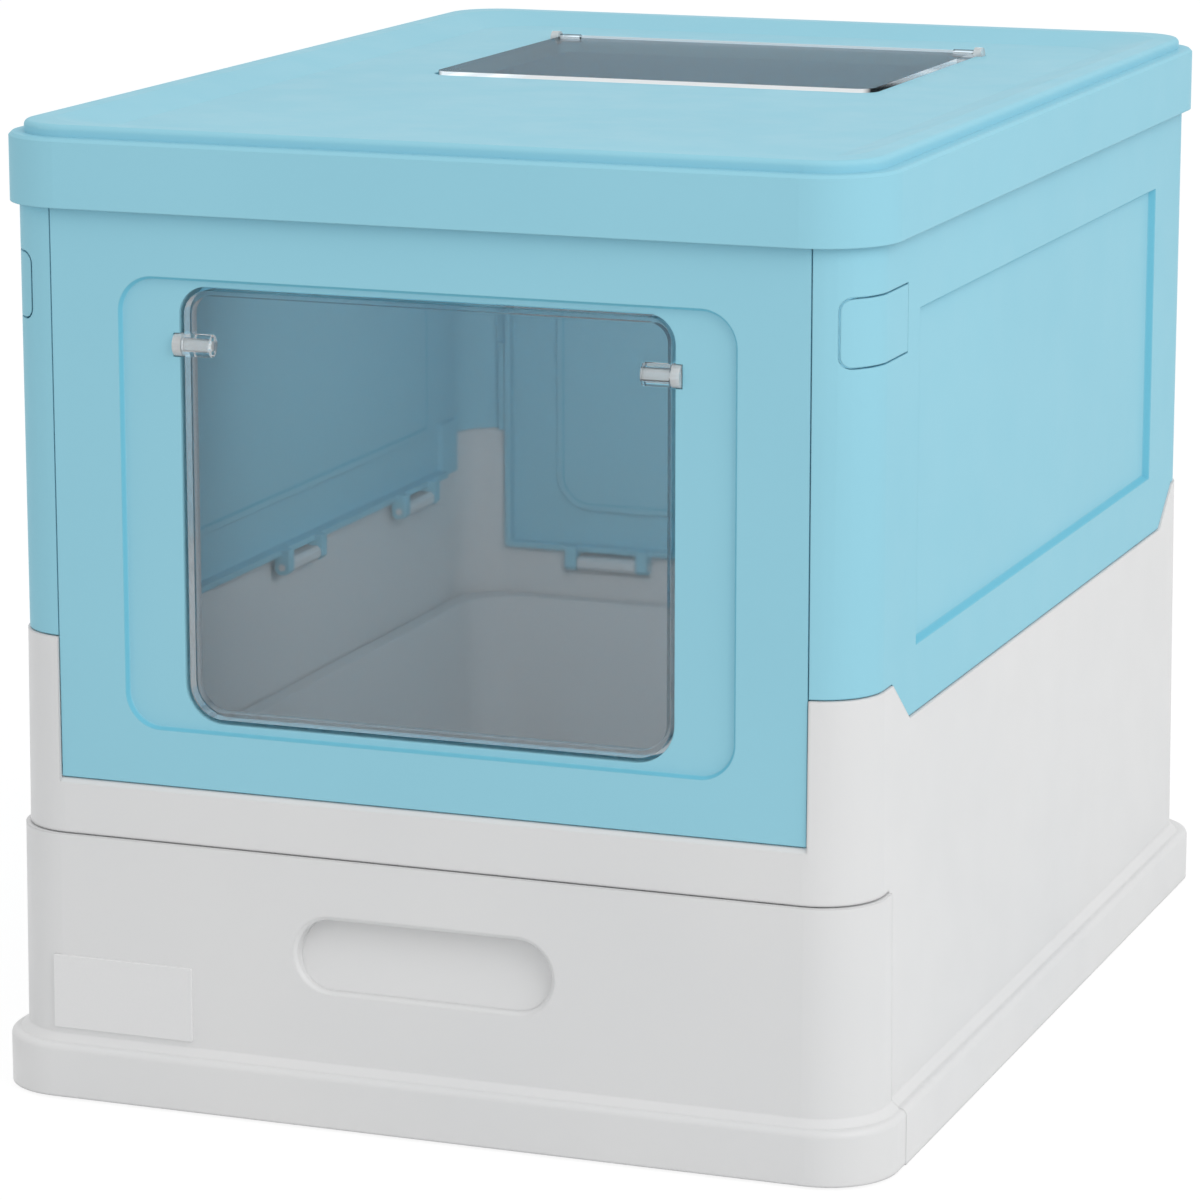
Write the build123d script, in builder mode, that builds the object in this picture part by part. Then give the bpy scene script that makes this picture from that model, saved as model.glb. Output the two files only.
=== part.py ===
from build123d import *
import os
from math import atan2, degrees, radians, tan

os.makedirs("parts", exist_ok=True)

# A covered litter box that folds flat: white base with a drawer, blue walls and lid, clear flaps.
# Origin on the ground under the middle of the box, +Z up, the doorway faces -Y. Millimetres.

# Base
plinth_width = 356.8
plinth_depth = 482.2
plinth_corner = 27.0
plinth_height = 21.5
plinth_round = 2.6
plinth_flare = 6.6
cove_height = 2.8
cove_slope = 45.0
base_corner = 25.0
base_draft = 0.6
base_wall = 3.0
base_floor = 2.6
post_rise = 16.5
side_rise = 38.0
side_sill_front_setback = 56.0
side_sill_rear_setback = 47.0
side_slope_run = 20.5
side_slope_round = 2.5
lintel_height = 21.3
lintel_flange = 14.0
sill_bevel = 1.8
runner_height = 3.4
runner_width = 5.0
runner_inset = 66.8

# Drawer
drawer_height = 103.2
drawer_wrap = 30.9
drawer_proud = 1.3
drawer_ground_gap = 0.6
slide_gap = 0.2
grip_width = 102.0
grip_height = 27.5
grip_centre_height = 66.0
grip_top_depth = 10.0
grip_foot_depth = 3.2
grip_bevel = 1.4
pan_skin = 2.6
pan_side_gap = 1.2
pan_lip = 5.0
pan_lip_drop = 0.3
pan_corner = 18.0
pan_draft = 3.0
pan_floor_bevel = 5.0
shelf_inset = 46.5
shelf_joint = 4.0
shelf_lap = 4.4

# Walls
wall_step = 0.6
wall_corner = 23.0
wall_skin = 2.6
wall_rim = 8.0
cabin_height = 240.6
end_wall_drop = 1.0
post_width = 20.7
seam = 0.5
field_recess = 2.2
field_slope = 1.2
end_field_inset = 27.6
end_field_height = 171.8
end_field_rise = 21.8
end_field_corner = 14.0
side_field_setback = 62.0
side_field_height = 124.8
side_field_rise = 25.5
side_field_recess = 2.8
side_field_slope = 1.6
tongue_length = 18.0
tongue_lap = 8.0
rear_relief_rise = 41.0
rear_relief_width = 5.4

# Wall hinges
hinge_inset = 8.2
hinge_drop = 4.5
hinge_pin_radius = 1.5
hinge_fit = 0.05
lug_radius = 3.2
lug_width = 5.5
lug_spacing = 34.5
knuckle_radius = 3.0
lug_bevel = 1.6
knuckle_end_gap = 0.4
end_hinge_inset = 51.2
side_hinge_front_margin = 73.5
side_hinge_rear_margin = 38.5

# Doorway and its flap
door_inset = 24.0
door_height = 165.0
door_rise = 25.5
door_top_corner = 11.0
door_bottom_corner = 15.0
door_reveal = 12.0
flap_gap = 1.6
flap_sheet = 2.6
flap_setback = 0.6
flap_rim_width = 2.2
flap_rim_height = 4.4
door_pivot_drop = 22.2
door_boss_radius = 4.4
door_boss_length = 11.0
flap_pin_radius = 2.0
flap_pin_fit = 0.05
pin_head_gap = 0.4

# Latch tabs
latch_height = 24.3
latch_rise = 174.7
latch_reach = 11.3
latch_corner = 4.0
latch_hinge_setback = 47.0
latch_slit = 0.7
latch_hinge_gap = 0.25
latch_press = 2.0
latch_rib_width = 2.4
latch_rib_depth = 5.0
latch_rib_inset = 3.0

# Lid and its flap
lid_overhang = 4.2
lid_corner = 29.0
lid_skin = 2.6
skirt_drop = 23.1
skirt_bevel = 1.2
border_inset = 5.8
border_rise = 4.5
border_width = 27.0
border_crest = 9.0
border_round = 2.0
top_door_width = 190.0
top_door_length = 155.0
top_door_setback = 74.2
top_door_corner = 8.0
top_reveal = 5.0
top_ledge = 3.0
top_flap_proud = 1.4
top_pivot_setback = 8.0
top_boss_radius = 2.4
top_head_radius = 3.5
top_pin_radius = 1.2
top_boss_length = 9.0

# Tools
overrun = 5.0

# Heights worked out from the sizes above
end_sill = drawer_height + lintel_height
side_sill = end_sill + side_rise
post_top = side_sill + post_rise
lid_seat = end_sill + cabin_height
lid_field = lid_seat + lid_skin
lid_top = lid_field + border_rise

# Plan sizes worked out from the sizes above
lean = tan(radians(base_draft))
foot_width = plinth_width - 2 * plinth_flare
foot_depth = plinth_depth - 2 * plinth_flare
drawer_seam = foot_depth / 2 - drawer_wrap
walls_width = foot_width - 2 * (post_top * lean + wall_step)
walls_depth = foot_depth - 2 * (post_top * lean + wall_step)
wall_face_x = walls_width / 2
wall_face_y = walls_depth / 2
end_wall_width = walls_width - 2 * post_width
post_edge = end_wall_width / 2
end_field_width = end_wall_width - 2 * end_field_inset
door_width = end_field_width - 2 * door_inset
side_field_length = walls_depth - 2 * side_field_setback
side_sill_front = -foot_depth / 2 + side_sill_front_setback
side_sill_rear = foot_depth / 2 - side_sill_rear_setback
lid_width = walls_width + 2 * lid_overhang
lid_depth = walls_depth + 2 * lid_overhang

# Hinge lines worked out from the sizes above
end_hinge_y = wall_face_y - hinge_inset
end_hinge_z = end_sill - hinge_drop
side_hinge_x = wall_face_x - hinge_inset
side_hinge_z = side_sill - hinge_drop
end_hinge_places = [end_hinge_inset - post_edge, post_edge - end_hinge_inset]
side_hinge_front = side_sill_front + side_hinge_front_margin
side_hinge_rear = side_sill_rear - side_hinge_rear_margin
side_hinge_places = [side_hinge_front, (side_hinge_front + side_hinge_rear) / 2, side_hinge_rear]
hinge_hole_radius = hinge_pin_radius + hinge_fit
hinge_pin_length = lug_spacing + lug_width
knuckle_length = lug_spacing - lug_width - 2 * knuckle_end_gap
field_taper = degrees(atan2(field_slope, field_recess))
side_field_taper = degrees(atan2(side_field_slope, side_field_recess))


def base_half_width(height):
    """Half the width of the leaning base wall's outside at a height."""
    return foot_width / 2 - height * lean


def base_half_depth(height):
    """Half the depth of the leaning base wall's outside at a height."""
    return foot_depth / 2 - height * lean


def outer_form(proud):
    """Outside of the base and of the drawer front: plinth, cove and leaning wall."""
    with BuildPart() as form:
        with BuildSketch():
            RectangleRounded(plinth_width, plinth_depth, plinth_corner)
        extrude(amount=plinth_height)
        fillet(form.edges().group_by(Axis.Z)[-1], plinth_round)
        with BuildSketch():
            RectangleRounded(foot_width + 2 * proud, foot_depth + 2 * proud, base_corner)
        extrude(amount=post_top, taper=base_draft)
        with BuildSketch(Plane.XY.offset(plinth_height)):
            RectangleRounded(
                foot_width + 2 * (proud + cove_height), foot_depth + 2 * (proud + cove_height), base_corner + cove_height
            )
        extrude(amount=cove_height + seam, taper=cove_slope)
    return form.part


def inner_form():
    """Hollow of the base and of the drawer front, a wall's thickness inside the outer form."""
    hollow_width = 2 * (base_half_width(base_floor) - base_wall)
    hollow_depth = 2 * (base_half_depth(base_floor) - base_wall)
    with BuildPart() as hollow:
        with BuildSketch(Plane.XY.offset(base_floor)):
            RectangleRounded(plinth_width - 2 * base_wall, plinth_depth - 2 * base_wall, plinth_corner - base_wall)
        extrude(amount=plinth_height - base_wall - base_floor)
        with BuildSketch(Plane.XY.offset(base_floor)):
            RectangleRounded(hollow_width, hollow_depth, base_corner - base_wall)
        extrude(amount=post_top, taper=base_draft)
    return hollow.part


def side_seam_points(lift):
    """Line of the seam between a side wall and the base, from the front post to the rear one."""
    return [
        (side_sill_front - side_slope_run, post_top + lift),
        (side_sill_front, side_sill + lift),
        (side_sill_rear, side_sill + lift),
        (side_sill_rear + side_slope_run, post_top + lift),
    ]


def lug_profile(axis_place, axis_height, radius, top):
    """Hinge lug seen along its pin: a straight shank with bevelled lower corners."""
    with BuildSketch(mode=Mode.PRIVATE) as shank:
        with Locations((axis_place, axis_height - radius)):
            Rectangle(2 * radius, top - axis_height + radius, align=(Align.CENTER, Align.MIN))
        chamfer(shank.vertices().group_by(Axis.Y)[0], lug_bevel)
    add(shank.sketch)


def knuckle_profile(axis_place, axis_height, root):
    """Base knuckle seen along its pin: a block that roots in the base wall, with a bevelled nose."""
    outward = 1 if root > axis_place else -1
    nose = axis_place - outward * knuckle_radius
    with BuildSketch(mode=Mode.PRIVATE) as block:
        with Locations(((nose + root) / 2, axis_height)):
            Rectangle(abs(root - nose), 2 * knuckle_radius)
        chamfer(block.vertices().group_by(Axis.X)[0 if outward > 0 else -1], lug_bevel)
    add(block.sketch)


def lug_places(centres):
    """Middle of each lug along the hinge line."""
    return [centre + side * lug_spacing / 2 for centre in centres for side in (-1, 1)]


# Base shell
with BuildPart() as base_shell:
    add(outer_form(0))
    add(inner_form(), mode=Mode.SUBTRACT)

    # Flange that stiffens the lintel over the drawer
    flange_bottom = drawer_height + seam / 2
    with BuildSketch(Plane.XY.offset(flange_bottom)):
        RectangleRounded(
            2 * base_half_width(flange_bottom) - base_wall, 2 * base_half_depth(flange_bottom) - base_wall, base_corner
        )
        with Locations((0, lintel_flange + base_wall - base_half_depth(flange_bottom))):
            Rectangle(plinth_width, plinth_depth, align=(Align.CENTER, Align.MIN), mode=Mode.SUBTRACT)
    extrude(amount=base_floor)

    # Runners that carry the drawer pan
    with BuildSketch(Plane.XY.offset(base_floor)):
        with Locations((0, (base_half_depth(0) - base_wall - drawer_seam) / 2)):
            with GridLocations(foot_width - 2 * runner_inset, 0, 2, 1):
                Rectangle(runner_width, base_half_depth(0) - base_wall + drawer_seam)
    extrude(amount=runner_height)

    # Bay for the drawer front
    with BuildSketch(Plane.XZ.offset(drawer_seam)):
        with Locations((0, drawer_height + seam / 2)):
            Rectangle(plinth_width + 2 * overrun, drawer_height + overrun, align=(Align.CENTER, Align.MAX))
    extrude(amount=plinth_depth / 2 - drawer_seam + overrun, mode=Mode.SUBTRACT)

    # Notches for the end walls, with bevelled sills, and for the side walls
    with BuildSketch(Plane.XY.offset(end_sill)):
        Rectangle(end_wall_width, plinth_depth)
    extrude(amount=post_top - end_sill + overrun, mode=Mode.SUBTRACT)
    sill_half = base_half_depth(end_sill)
    with BuildSketch(Plane.YZ.offset(-end_wall_width / 2)):
        for end in (-1, 1):
            with BuildLine():
                Polyline(
                    (end * (sill_half - sill_bevel), end_sill),
                    (end * (sill_half + overrun), end_sill),
                    (end * (sill_half + overrun), end_sill - sill_bevel - overrun),
                    close=True,
                )
            make_face()
    extrude(amount=end_wall_width, mode=Mode.SUBTRACT)
    with BuildSketch(Plane.YZ.offset(-plinth_width / 2)) as side_notch:
        with BuildLine():
            notch = Polyline(side_seam_points(0), close=True)
        make_face()
        low_corners = side_notch.vertices().group_by(Axis.Y)[0]
        fillet(low_corners, side_slope_round)
    extrude(amount=plinth_width, mode=Mode.SUBTRACT)

    # Hinge knuckles for the four walls
    for place in end_hinge_places:
        with BuildSketch(Plane.YZ.offset(place - knuckle_length / 2)):
            root = base_half_depth(end_hinge_z) - base_wall / 2
            knuckle_profile(-end_hinge_y, end_hinge_z, -root)
            knuckle_profile(end_hinge_y, end_hinge_z, root)
        extrude(amount=knuckle_length)
        with BuildSketch(Plane.YZ.offset(place - knuckle_length / 2)):
            with Locations((-end_hinge_y, end_hinge_z), (end_hinge_y, end_hinge_z)):
                Circle(hinge_hole_radius)
        extrude(amount=knuckle_length, mode=Mode.SUBTRACT)
    for place in side_hinge_places:
        with BuildSketch(Plane.XZ.offset(-place - knuckle_length / 2)):
            root = base_half_width(side_hinge_z) - base_wall / 2
            knuckle_profile(-side_hinge_x, side_hinge_z, -root)
            knuckle_profile(side_hinge_x, side_hinge_z, root)
        extrude(amount=knuckle_length)
        with BuildSketch(Plane.XZ.offset(-place - knuckle_length / 2)):
            with Locations((-side_hinge_x, side_hinge_z), (side_hinge_x, side_hinge_z)):
                Circle(hinge_hole_radius)
        extrude(amount=knuckle_length, mode=Mode.SUBTRACT)
base_shell.part.label = "base_shell"
export_step(base_shell.part, "parts/base_shell.step")


# Drawer pan
drawer_top = drawer_height - seam / 2
pan_lip_top = drawer_top - pan_lip_drop
pan_bottom = base_floor + runner_height + slide_gap
pan_front = drawer_seam + shelf_joint
pan_rear = base_half_depth(drawer_height) - base_wall - pan_side_gap
pan_lip_width = 2 * (base_half_width(drawer_height) - base_wall - pan_side_gap)
pan_middle = (pan_rear - pan_front) / 2
shelf_width = pan_lip_width - 2 * shelf_inset


def pan_form(inset):
    """Tub of the drawer pan, narrower towards its rounded floor."""
    rise = pan_lip_top - pan_bottom
    narrowing = rise * tan(radians(pan_draft)) + pan_lip
    with BuildPart() as tub:
        with BuildSketch(Plane.XY.offset(pan_bottom + inset)):
            with Locations((0, pan_middle)):
                RectangleRounded(
                    pan_lip_width - 2 * (narrowing + inset), pan_front + pan_rear - 2 * (narrowing + inset), pan_corner
                )
        extrude(amount=rise, taper=-pan_draft)
        chamfer(tub.edges().group_by(Axis.Z)[0], pan_floor_bevel - inset / 2)
    return tub.part


with BuildPart() as drawer_pan:
    add(pan_form(0))
    with BuildSketch(Plane.XY.offset(pan_lip_top)):
        with Locations((0, pan_middle)):
            RectangleRounded(pan_lip_width, pan_front + pan_rear, base_corner - base_wall)
    extrude(amount=-pan_skin)
    add(pan_form(pan_skin), mode=Mode.SUBTRACT)
drawer_pan.part.label = "drawer_pan"
export_step(drawer_pan.part, "parts/drawer_pan.step")


grip_face = foot_depth / 2 + drawer_proud


def grip_form(grow, front):
    """Finger recess, deepest under its upper edge, grown all round and cut off at its front."""
    half_height = grip_height / 2 + grow
    with BuildPart() as scoop:
        with BuildSketch(Plane.YZ.offset(-grip_width / 2 - grow)):
            with BuildLine():
                Polyline(
                    (-front, grip_centre_height - half_height),
                    (grip_foot_depth + grow - grip_face, grip_centre_height - half_height),
                    (grip_top_depth + grow - grip_face, grip_centre_height + half_height),
                    (-front, grip_centre_height + half_height),
                    close=True,
                )
            make_face()
        extrude(amount=grip_width + 2 * grow)
        with BuildSketch(Plane.XZ.offset(front)):
            with Locations((0, grip_centre_height)):
                SlotOverall(grip_width + 2 * grow, 2 * half_height)
        extrude(amount=-front, mode=Mode.INTERSECT)
    return scoop.part


# Drawer front
with BuildPart() as drawer_front:
    add(outer_form(drawer_proud))
    add(inner_form(), mode=Mode.SUBTRACT)
    with BuildSketch(Plane.XY.offset(drawer_ground_gap)):
        with Locations((0, -drawer_seam - seam / 2)):
            Rectangle(plinth_width + 2 * overrun, plinth_depth / 2, align=(Align.CENTER, Align.MAX))
    extrude(amount=drawer_top - drawer_ground_gap, mode=Mode.INTERSECT)

    # Top web, from the front plate back to the pan's lip
    web_bottom = drawer_top - pan_skin
    with BuildSketch(Plane.XY.offset(web_bottom)):
        RectangleRounded(
            2 * base_half_width(drawer_top) - base_wall, 2 * base_half_depth(drawer_top) - base_wall, base_corner
        )
        with Locations((0, -pan_front - pan_lip_drop)):
            Rectangle(plinth_width, plinth_depth, align=(Align.CENTER, Align.MIN), mode=Mode.SUBTRACT)
    extrude(amount=pan_skin)

    # Shelf that the pan's front lip lies on
    shelf_top = pan_lip_top - pan_skin
    with BuildSketch(Plane.YZ.offset(-shelf_width / 2)):
        with Locations((-pan_front - pan_lip_drop, drawer_top)):
            Rectangle(pan_skin, drawer_top - shelf_top + pan_skin, align=(Align.MAX, Align.MAX))
        with Locations((-pan_front - pan_lip_drop - pan_skin, shelf_top)):
            Rectangle(pan_skin + pan_lip_drop + shelf_lap, pan_skin, align=(Align.MIN, Align.MAX))
    extrude(amount=shelf_width)

    # Finger recess: a cup behind the front plate, opened from outside
    add(grip_form(base_wall, grip_face - base_wall))
    add(grip_form(0, grip_face + overrun), mode=Mode.SUBTRACT)
    mouth = drawer_front.edges(Select.LAST).filter_by(
        lambda edge: edge.center().Y < grip_foot_depth / 2 - grip_face
    )
    chamfer(mouth, grip_bevel)
drawer_front.part.label = "drawer_front"
export_step(drawer_front.part, "parts/drawer_front.step")


# End walls
end_wall_bottom = end_sill + seam
end_wall_top = lid_seat - end_wall_drop
end_panel_width = end_wall_width - 2 * seam
end_panel_height = end_wall_top - end_wall_bottom
end_field_middle = end_sill + end_field_rise + end_field_height / 2


def end_wall():
    """Blank of a folding end wall, drawn in the front wall's place: panel, rim, field and lugs."""
    with BuildPart() as blank:
        with BuildSketch(Plane.XZ.offset(wall_face_y)):
            with Locations((0, end_wall_bottom + end_panel_height / 2)):
                Rectangle(end_panel_width, end_panel_height)
        extrude(amount=-wall_rim)
        with BuildSketch(Plane.XZ.offset(wall_face_y - wall_skin)):
            with Locations((0, end_wall_bottom + end_panel_height / 2)):
                Rectangle(end_panel_width - 2 * wall_skin, end_panel_height - 2 * wall_skin)
        extrude(amount=-wall_rim, mode=Mode.SUBTRACT)
        with BuildSketch(Plane.XZ.offset(wall_face_y - wall_skin)):
            with Locations((0, end_field_middle)):
                RectangleRounded(
                    end_field_width + 2 * wall_skin, end_field_height + 2 * wall_skin, end_field_corner + wall_skin
                )
        extrude(amount=-field_recess)
        with BuildSketch(Plane.XZ.offset(wall_face_y)):
            with Locations((0, end_field_middle)):
                RectangleRounded(end_field_width, end_field_height, end_field_corner)
        extrude(amount=-field_recess, taper=field_taper, mode=Mode.SUBTRACT)
        for place in lug_places(end_hinge_places):
            with BuildSketch(Plane.YZ.offset(place - lug_width / 2)):
                lug_profile(-end_hinge_y, end_hinge_z, lug_radius, end_wall_bottom + wall_skin)
            extrude(amount=lug_width)
            with BuildSketch(Plane.YZ.offset(place - lug_width / 2)):
                with Locations((-end_hinge_y, end_hinge_z)):
                    Circle(hinge_hole_radius)
            extrude(amount=lug_width, mode=Mode.SUBTRACT)
    return blank.part


# Doorway lines worked out from the sizes above
door_bottom = end_sill + door_rise
door_top = door_bottom + door_height
door_field_y = wall_face_y - field_recess
door_pivot_y = door_field_y - flap_setback - flap_sheet / 2
door_pivot_z = door_top - door_pivot_drop


def door_outline(grow):
    """Doorway outline, with its smaller corners at the top, grown all round."""
    with BuildSketch() as outline:
        with Locations((0, (door_bottom + door_top) / 2)):
            Rectangle(door_width + 2 * grow, door_height + 2 * grow)
        corners = outline.vertices().group_by(Axis.Y)
        fillet(corners[-1], door_top_corner + grow)
        low = outline.vertices().group_by(Axis.Y)[0]
        fillet(low, door_bottom_corner + grow)
    return outline.sketch


# Front wall
with BuildPart() as front_wall:
    add(end_wall())
    with BuildSketch(Plane.XZ.offset(door_field_y)):
        add(door_outline(wall_skin))
    extrude(amount=-door_reveal)
    with BuildSketch(Plane.XZ.offset(wall_face_y)):
        add(door_outline(0))
    extrude(amount=-door_reveal - wall_rim, mode=Mode.SUBTRACT)

    # Notches in the jambs for the pin heads, open to the front
    with BuildSketch(Plane.YZ.offset(-door_width / 2 - wall_skin)):
        with Locations((-door_pivot_y, door_pivot_z)):
            Circle(door_boss_radius + flap_pin_fit)
            Rectangle(
                wall_face_y - door_pivot_y,
                2 * (door_boss_radius + flap_pin_fit),
                align=(Align.MAX, Align.CENTER),
            )
    extrude(amount=door_width + 2 * wall_skin, mode=Mode.SUBTRACT)
front_wall.part.label = "front_wall"
export_step(front_wall.part, "parts/front_wall.step")


# Rear wall
with BuildPart() as rear_wall:
    mirror(end_wall(), about=Plane.XZ)
rear_wall.part.label = "rear_wall"
export_step(rear_wall.part, "parts/rear_wall.step")


# Side walls with their corner posts
latch_bottom = end_sill + latch_rise
latch_hinge_y = wall_face_y - latch_hinge_setback
latch_edge = wall_face_x - latch_reach
latch_axis = Axis((wall_face_x - wall_skin, -latch_hinge_y, 0), (0, 0, 1))
rear_relief_height = post_top + rear_relief_rise
side_wall_bottom = side_sill + seam
side_field_middle = side_sill + side_field_rise + side_field_height / 2


def wall_ring(thickness, grow):
    """Plan of the blue walls: a rounded ring, kept only where a side wall and its posts stand."""
    RectangleRounded(walls_width + 2 * grow, walls_depth + 2 * grow, wall_corner + grow)
    RectangleRounded(
        walls_width - 2 * thickness, walls_depth - 2 * thickness, wall_corner - thickness, mode=Mode.SUBTRACT
    )
    with Locations((post_edge, 0)):
        Rectangle(walls_width, plinth_depth, align=(Align.MAX, Align.CENTER), mode=Mode.SUBTRACT)


def latch_outline(grow):
    """Latch tab seen from the front, with rounded corners at its free edge."""
    with BuildSketch() as outline:
        with Locations((latch_edge - grow, latch_bottom - grow)):
            Rectangle(
                wall_face_x - latch_edge + overrun, latch_height + 2 * grow, align=(Align.MIN, Align.MIN)
            )
        free_corners = outline.vertices().group_by(Axis.X)[0]
        fillet(free_corners, latch_corner + grow)
    return outline.sketch


def latch_blank(grow, proud):
    """Latch tab in the right front post, grown at its edges and stood proud of the wall."""
    with BuildPart() as blank:
        with BuildSketch(Plane.XY.offset(latch_bottom - grow)):
            wall_ring(wall_skin, proud)
        extrude(amount=latch_height + 2 * grow)
        with BuildSketch(Plane.XZ.offset(latch_hinge_y)):
            add(latch_outline(grow))
        extrude(amount=latch_hinge_setback + overrun, mode=Mode.INTERSECT)
    return blank.part


with BuildPart() as right_wall:
    with BuildSketch(Plane.XY.offset(side_wall_bottom)):
        wall_ring(wall_skin, 0)
        for end in (-1, 1):
            with Locations((post_edge + wall_skin / 2, end * (wall_face_y - (wall_skin / 2 + wall_rim) / 2))):
                Rectangle(wall_skin, wall_rim - wall_skin / 2)
    extrude(amount=lid_seat - side_wall_bottom)

    # Lower corners cut back along the seam with the base
    front_high, front_low, rear_low, rear_high = side_seam_points(seam)
    with BuildSketch(Plane.YZ):
        with BuildLine():
            Polyline(
                (-walls_depth, side_sill),
                (front_low[0], side_sill),
                front_low,
                front_high,
                (-walls_depth, front_high[1]),
                close=True,
            )
        make_face()
        with BuildLine():
            Polyline(
                (walls_depth, side_sill),
                (rear_low[0], side_sill),
                rear_low,
                rear_high,
                (walls_depth, rear_high[1]),
                close=True,
            )
        make_face()
    extrude(amount=walls_width, mode=Mode.SUBTRACT)

    # Rim along the hinge line
    with BuildSketch(Plane.XY.offset(side_wall_bottom)):
        with Locations((wall_face_x - wall_skin / 2, (front_low[0] + rear_low[0]) / 2)):
            Rectangle(wall_rim - wall_skin / 2, rear_low[0] - front_low[0], align=(Align.MAX, Align.CENTER))
    extrude(amount=wall_skin)

    # Tongues that cover the seam's slopes from inside
    with BuildSketch(Plane.XY.offset(side_wall_bottom)):
        for low, outward in ((front_low[0], -1), (rear_low[0], 1)):
            with Locations((wall_face_x - wall_skin, low + outward * tongue_length / 2)):
                Rectangle(wall_skin, tongue_length, align=(Align.MAX, Align.CENTER))
    extrude(amount=post_top + tongue_lap - side_wall_bottom)

    # Field: raised inside, sunk outside
    with BuildSketch(Plane.YZ.offset(wall_face_x - wall_skin)):
        with Locations((0, side_field_middle)):
            Rectangle(side_field_length + 2 * wall_skin, side_field_height + 2 * wall_skin)
    extrude(amount=-side_field_recess)
    with BuildSketch(Plane.YZ.offset(wall_face_x)):
        with Locations((0, side_field_middle)):
            Rectangle(side_field_length, side_field_height)
    extrude(amount=-side_field_recess, taper=side_field_taper, mode=Mode.SUBTRACT)

    # Relief beside the rear wall, open to the inside
    with BuildSketch(Plane.XY.offset(rear_relief_height)):
        with Locations((post_edge, wall_face_y - wall_skin)):
            Rectangle(2 * rear_relief_width, wall_rim + overrun, align=(Align.CENTER, Align.MAX))
    extrude(amount=lid_seat - rear_relief_height + overrun, mode=Mode.SUBTRACT)

    # Slit round the latch tab
    with BuildSketch(Plane.XZ.offset(latch_hinge_y - latch_hinge_gap)):
        add(latch_outline(latch_slit))
    extrude(amount=latch_hinge_setback + overrun, mode=Mode.SUBTRACT)

    # Room under the slit's free edge for the pressed tab
    for share in (1 / 2, 1):
        add(latch_blank(latch_slit, latch_hinge_gap).rotate(latch_axis, -share * latch_press), mode=Mode.SUBTRACT)

    # Hinge lugs
    for place in lug_places(side_hinge_places):
        with BuildSketch(Plane.XZ.offset(-place - lug_width / 2)):
            lug_profile(side_hinge_x, side_hinge_z, lug_radius, side_wall_bottom + wall_skin)
        extrude(amount=lug_width)
        with BuildSketch(Plane.XZ.offset(-place - lug_width / 2)):
            with Locations((side_hinge_x, side_hinge_z)):
                Circle(hinge_hole_radius)
        extrude(amount=lug_width, mode=Mode.SUBTRACT)
right_wall.part.label = "right_wall"
export_step(right_wall.part, "parts/right_wall.step")

with BuildPart() as left_wall:
    mirror(right_wall.part, about=Plane.YZ)
left_wall.part.label = "left_wall"
export_step(left_wall.part, "parts/left_wall.step")


# Latch tabs, one on each front post
with BuildPart() as latch_right:
    add(latch_blank(0, 0))
    with BuildSketch(Plane.XY.offset(latch_bottom + latch_rib_inset)):
        with Locations((wall_face_x - wall_skin / 2, wall_corner - wall_face_y)):
            Rectangle(latch_rib_depth, latch_rib_width, align=(Align.MAX, Align.CENTER))
    extrude(amount=latch_height - 2 * latch_rib_inset)
latch_right.part.label = "latch_right"
export_step(latch_right.part, "parts/latch_right.step")

with BuildPart() as latch_left:
    mirror(latch_right.part, about=Plane.YZ)
latch_left.part.label = "latch_left"
export_step(latch_left.part, "parts/latch_left.step")


# Wall hinge pins
with BuildPart() as front_hinge_pins:
    for place in end_hinge_places:
        with BuildSketch(Plane.YZ.offset(place - hinge_pin_length / 2)):
            with Locations((-end_hinge_y, end_hinge_z)):
                Circle(hinge_pin_radius)
        extrude(amount=hinge_pin_length)
front_hinge_pins.part.label = "front_hinge_pins"
export_step(front_hinge_pins.part, "parts/front_hinge_pins.step")

with BuildPart() as rear_hinge_pins:
    mirror(front_hinge_pins.part, about=Plane.XZ)
rear_hinge_pins.part.label = "rear_hinge_pins"
export_step(rear_hinge_pins.part, "parts/rear_hinge_pins.step")

with BuildPart() as right_hinge_pins:
    for place in side_hinge_places:
        with BuildSketch(Plane.XZ.offset(-place - hinge_pin_length / 2)):
            with Locations((side_hinge_x, side_hinge_z)):
                Circle(hinge_pin_radius)
        extrude(amount=hinge_pin_length)
right_hinge_pins.part.label = "right_hinge_pins"
export_step(right_hinge_pins.part, "parts/right_hinge_pins.step")

with BuildPart() as left_hinge_pins:
    mirror(right_hinge_pins.part, about=Plane.YZ)
left_hinge_pins.part.label = "left_hinge_pins"
export_step(left_hinge_pins.part, "parts/left_hinge_pins.step")


# Front flap
flap_face_y = door_field_y - flap_setback
with BuildPart() as front_flap:
    with BuildSketch(Plane.XZ.offset(flap_face_y)):
        add(door_outline(-flap_gap))
    extrude(amount=-flap_sheet)
    with BuildSketch(Plane.XZ.offset(flap_face_y - flap_sheet)):
        add(door_outline(-flap_gap))
        add(door_outline(-flap_gap - flap_rim_width), mode=Mode.SUBTRACT)
    extrude(amount=-flap_rim_height)

    # Bosses for the pins at both edges
    boss_end = door_width / 2 - flap_gap
    for side in (-1, 1):
        with BuildSketch(Plane.YZ.offset(side * boss_end)):
            with Locations((-door_pivot_y, door_pivot_z)):
                Circle(door_boss_radius)
        extrude(amount=-side * door_boss_length)
        with BuildSketch(Plane.YZ.offset(side * boss_end)):
            with Locations((-door_pivot_y, door_pivot_z)):
                Circle(flap_pin_radius + flap_pin_fit)
        extrude(amount=-side * door_boss_length, mode=Mode.SUBTRACT)
front_flap.part.label = "front_flap"
export_step(front_flap.part, "parts/front_flap.step")


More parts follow.
